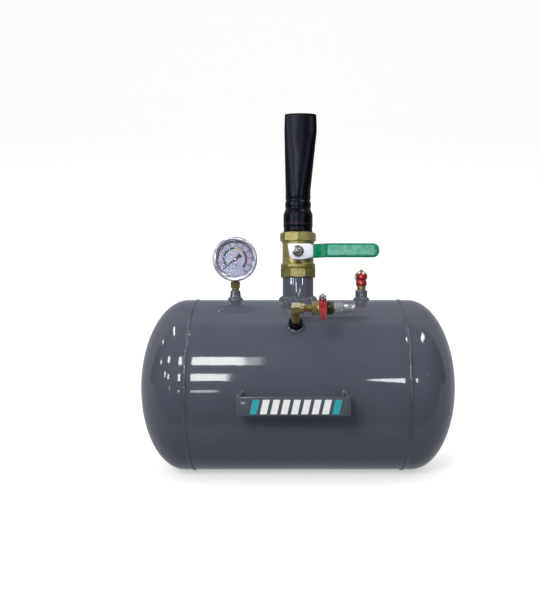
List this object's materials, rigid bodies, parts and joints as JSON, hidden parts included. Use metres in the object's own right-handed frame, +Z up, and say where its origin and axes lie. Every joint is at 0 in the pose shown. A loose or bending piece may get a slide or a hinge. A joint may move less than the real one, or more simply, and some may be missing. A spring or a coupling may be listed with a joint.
{
  "type": "bead seater blaster tank",
  "caption": "Horizontal air tank with a gauge, a safety valve, a valved air inlet, a carry handle and a ball valve that fires its air through a flattened discharge barrel.",
  "frame": {"origin": "centre of the bounding box's bottom face, on the floor under the tank", "axes": "+X along the tank from the gauge's end to the safety valve's end, -Y towards the carry handle, +Z up along the discharge barrel"},
  "size_m": [0.476, 0.307, 0.5495],
  "materials": {
    "tank_paint": "glossy grey-blue enamel",
    "handle_paint": "satin grey enamel",
    "brass": "cast and turned, lightly dulled",
    "dark_brass": "turned, dark",
    "chrome": "polished",
    "zinc": "bright zinc plate",
    "green_vinyl": "dipped vinyl",
    "black_paint": "satin black",
    "steel": "plain",
    "ptfe": "moulded",
    "dial_white": "printed dial",
    "pointer_black": "matt black",
    "lens": "clear",
    "red_paint": "anodised or painted red",
    "rubber": "moulded"
  },
  "bodies": {
    "tank": {"tank_shell": "tank_paint", "head_left": "tank_paint", "head_right": "tank_paint", "seam_weld_left": "tank_paint", "seam_weld_right": "tank_paint", "riser_coupling": "tank_paint", "riser_weld": "tank_paint", "gauge_bung": "tank_paint", "gauge_bung_weld": "tank_paint", "relief_bung": "tank_paint", "relief_bung_weld": "tank_paint", "inlet_bung": "tank_paint", "inlet_bung_weld": "tank_paint", "handle_weld_left": "tank_paint", "handle_weld_right": "tank_paint", "carry_handle": "handle_paint", "valve_body": "brass", "valve_end_cap": "brass", "gland_nut": "brass", "gauge_socket": "brass", "bourdon_tube": "brass", "movement_plate": "brass", "inlet_elbow": "brass", "inlet_nipple": "brass", "inlet_valve_body": "brass", "relief_body": "brass", "inlet_valve_end": "dark_brass", "gauge_case": "chrome", "gauge_bezel": "chrome", "air_plug": "zinc", "barrel_tube": "black_paint", "barrel_sleeve": "black_paint", "barrel_nipple": "steel", "relief_spring": "steel", "seat_lower": "ptfe", "seat_upper": "ptfe", "stem_packing": "ptfe", "inlet_seat_inner": "ptfe", "inlet_seat_outer": "ptfe", "inlet_packing": "ptfe", "gauge_dial": "dial_white", "gauge_lens": "lens", "relief_cap": "red_paint"},
    "main_lever": {"valve_ball": "chrome", "valve_stem": "brass", "lever_plate": "zinc", "lever_nut": "zinc", "lever_grip": "green_vinyl"},
    "inlet_lever": {"inlet_ball": "chrome", "inlet_stem": "brass", "inlet_lever": "red_paint", "inlet_lever_nut": "brass"},
    "relief_plunger": {"relief_stem": "brass", "relief_seal": "rubber"},
    "relief_ring": {"relief_ring": "steel"},
    "gauge_sector": {"sector_gear": "brass"},
    "gauge_pointer": {"gauge_pointer": "pointer_black"}
  },
  "joints": [
    {"name": "main_lever_turn", "type": "hinge", "parent": "tank", "child": "main_lever", "pos_m": [0, 0.02249, 0.33472], "axis": [0, -1, 0], "range_deg": [0, 90]},
    {"name": "inlet_lever_turn", "type": "hinge", "parent": "tank", "child": "inlet_lever", "pos_m": [0.0335, -0.0963, 0.24981], "axis": [0, -0.7071, 0.7071], "range_deg": [0, 90]},
    {"name": "relief_stem_lift", "type": "slide", "parent": "tank", "child": "relief_plunger", "axis": [0, 0, 1], "range_m": [0, 0.003], "stiffness_N_per_m": 400, "springref_m": -0.004, "deforming": ["relief_spring"]},
    {"name": "relief_ring_swing", "type": "hinge", "parent": "relief_plunger", "child": "relief_ring", "pos_m": [0.0986, 0.02249, 0.30572], "axis": [1, 0, 0], "range_deg": [0, 290]},
    {"name": "sector_turn", "type": "hinge", "parent": "tank", "child": "gauge_sector", "pos_m": [-0.0975, 0.02249, 0.31222], "axis": [0, -1, 0], "range_deg": [0, 33.75], "stiffness_Nm_per_rad": 0.002, "springref_deg": -11.46},
    {"name": "pointer_turn", "type": "hinge", "parent": "tank", "child": "gauge_pointer", "pos_m": [-0.0975, 0.02249, 0.32422], "axis": [0, 1, 0], "range_deg": [0, 270]}
  ],
  "couplings": [
    {"joint": "pointer_turn", "follows": "sector_turn", "ratio": 8}
  ]
}
